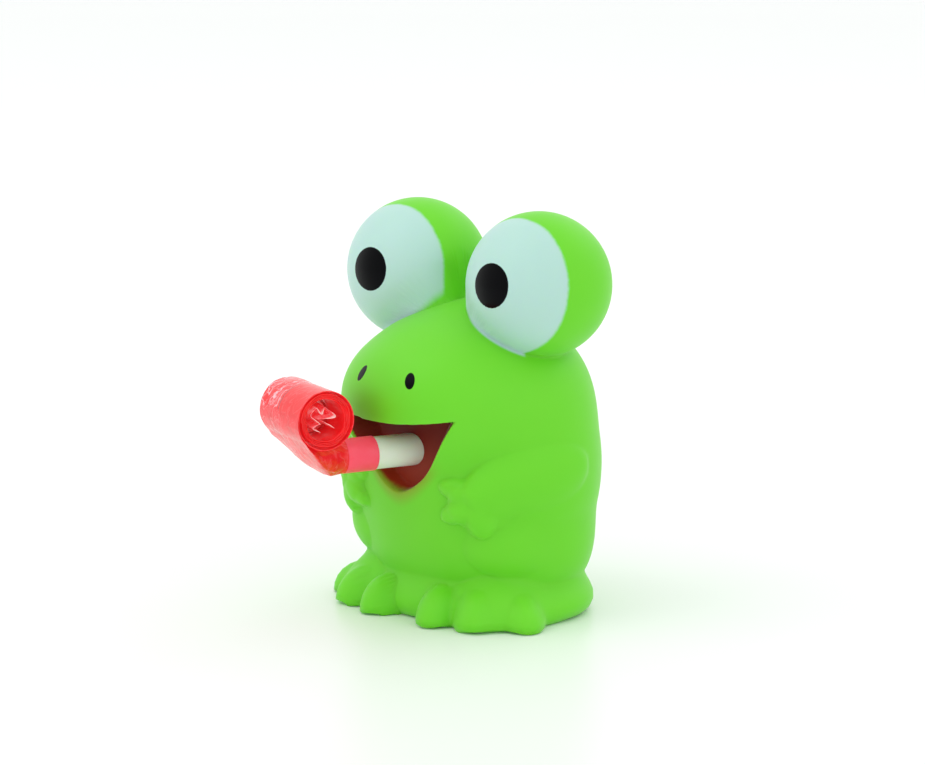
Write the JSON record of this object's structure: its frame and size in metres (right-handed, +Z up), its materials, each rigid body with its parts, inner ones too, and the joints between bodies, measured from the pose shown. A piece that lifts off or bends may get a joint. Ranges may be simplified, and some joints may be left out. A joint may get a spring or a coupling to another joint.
{
  "type": "squeeze frog with party blower",
  "caption": "Hollow soft vinyl frog that stands on a flat base, with a party blower in its mouth: a short tube holding a rolled film tongue that runs out when the body is squeezed.",
  "frame": {"origin": "on the table under the middle of the body, in the flat of the base", "axes": "+Z up, the frog faces -Y and its own left is +X"},
  "size_m": [0.072, 0.0823, 0.0942],
  "materials": {
    "vinyl_green": "satin",
    "plug_white": "matte",
    "tube_white": "satin",
    "film_red": "gloss",
    "film_pale": "gloss",
    "spring_steel": "brushed",
    "eye_paint": "satin",
    "black_paint": "gloss",
    "mouth_paint": "satin"
  },
  "bodies": {
    "frog": {"trunk_shell": "vinyl_green", "snout_shell": "vinyl_green", "chin_shell": "vinyl_green", "eye_ball_left": "vinyl_green", "eye_ball_right": "vinyl_green", "base_plug": "plug_white", "eye_white_left": "eye_paint", "eye_white_right": "eye_paint", "pupil_left": "black_paint", "pupil_right": "black_paint", "nostril_left": "black_paint", "nostril_right": "black_paint", "mouth_paint": "mouth_paint"},
    "blower": {"blower_tube": "tube_white", "film_neck": "film_red", "film_lead": "film_red"},
    "tongue": {"film_wrap": "film_red"},
    "roll": {"film_coil": "film_red", "curl_spring": "spring_steel", "film_end_fold": "film_pale"}
  },
  "joints": [
    {"name": "tube_twist", "type": "hinge", "parent": "frog", "child": "blower", "pos_m": [0, -0.0222, 0.0397], "axis": [-0.342, -0.9397, 0], "continuous": true},
    {"name": "tongue_unroll", "type": "slide", "parent": "blower", "child": "tongue", "axis": [-0.342, -0.9397, 0], "range_m": [0, 0.15], "stiffness_N_per_m": 1, "deforming": ["film_lead"]},
    {"name": "coil_spin", "type": "hinge", "parent": "tongue", "child": "roll", "pos_m": [-0.00896, -0.04682, 0.0504], "axis": [0.9397, -0.342, 0], "range_deg": [0, 1500]}
  ],
  "couplings": [
    {"joint": "coil_spin", "follows": "tongue_unroll", "rad_per_m": 174}
  ]
}
